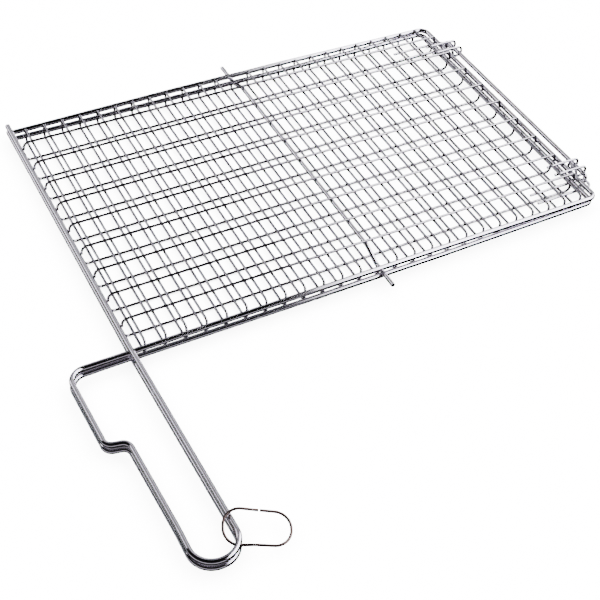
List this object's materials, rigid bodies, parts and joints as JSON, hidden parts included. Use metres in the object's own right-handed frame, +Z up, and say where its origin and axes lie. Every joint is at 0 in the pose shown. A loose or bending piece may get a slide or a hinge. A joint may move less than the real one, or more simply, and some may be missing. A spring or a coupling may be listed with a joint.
{
  "type": "grill basket",
  "caption": "Flat hinged wire basket with loop handles that holds food between two meshes over a fire.",
  "frame": {"origin": "under the middle of the whole closed object, on the surface it rests on", "axes": "+Z up; the handles point to -Y; the hinge pin runs along Y on the +X side"},
  "size_m": [0.4756, 0.4778, 0.02],
  "materials": {
    "handle_steel": "bright plated wire, mirror smooth",
    "frame_steel": "bright plated wire, mirror smooth",
    "long_wire_steel": "bright plated wire, mirror smooth",
    "cross_wire_steel": "bright plated wire, mirror smooth",
    "clip_steel": "bright plated wire, mirror smooth",
    "pin_steel": "bright plated wire, mirror smooth",
    "rod_steel": "bright plated wire, mirror smooth",
    "ring_steel": "bright plated wire, mirror smooth"
  },
  "bodies": {
    "lower_half": {"lower_handle_wire": "handle_steel", "lower_frame_wire": "frame_steel", "lower_long_wire_1": "long_wire_steel", "lower_long_wire_2": "long_wire_steel", "lower_long_wire_3": "long_wire_steel", "lower_long_wire_4": "long_wire_steel", "lower_long_wire_5": "long_wire_steel", "lower_long_wire_6": "long_wire_steel", "lower_long_wire_7": "long_wire_steel", "lower_long_wire_8": "long_wire_steel", "lower_long_wire_9": "long_wire_steel", "lower_cross_wires_1": "cross_wire_steel", "lower_cross_wires_2": "cross_wire_steel", "lower_cross_wires_3": "cross_wire_steel", "lower_cross_wires_4": "cross_wire_steel", "lower_hinge_clip_near": "clip_steel", "lower_hinge_clip_far": "clip_steel", "hinge_pin": "pin_steel"},
    "upper_half": {"upper_handle_wire": "handle_steel", "upper_frame_wire": "frame_steel", "upper_long_wire_1": "long_wire_steel", "upper_long_wire_2": "long_wire_steel", "upper_long_wire_3": "long_wire_steel", "upper_long_wire_4": "long_wire_steel", "upper_long_wire_5": "long_wire_steel", "upper_long_wire_6": "long_wire_steel", "upper_long_wire_7": "long_wire_steel", "upper_long_wire_8": "long_wire_steel", "upper_long_wire_9": "long_wire_steel", "upper_cross_wires_1": "cross_wire_steel", "upper_cross_wires_2": "cross_wire_steel", "upper_cross_wires_3": "cross_wire_steel", "upper_cross_wires_4": "cross_wire_steel", "support_rod": "rod_steel", "upper_hinge_clip_near": "clip_steel", "upper_hinge_clip_far": "clip_steel"},
    "slip_ring": {"slip_ring": "ring_steel"}
  },
  "joints": [
    {"name": "basket_hinge", "type": "hinge", "parent": "lower_half", "child": "upper_half", "pos_m": [0.23242, 0.08321, 0.01], "axis": [0, 1, 0], "range_deg": [0, 180]},
    {"name": "ring_slide", "type": "slide", "parent": "upper_half", "child": "slip_ring", "axis": [-0.0238, 0.9997, 0], "range_m": [0, 0.12]}
  ]
}
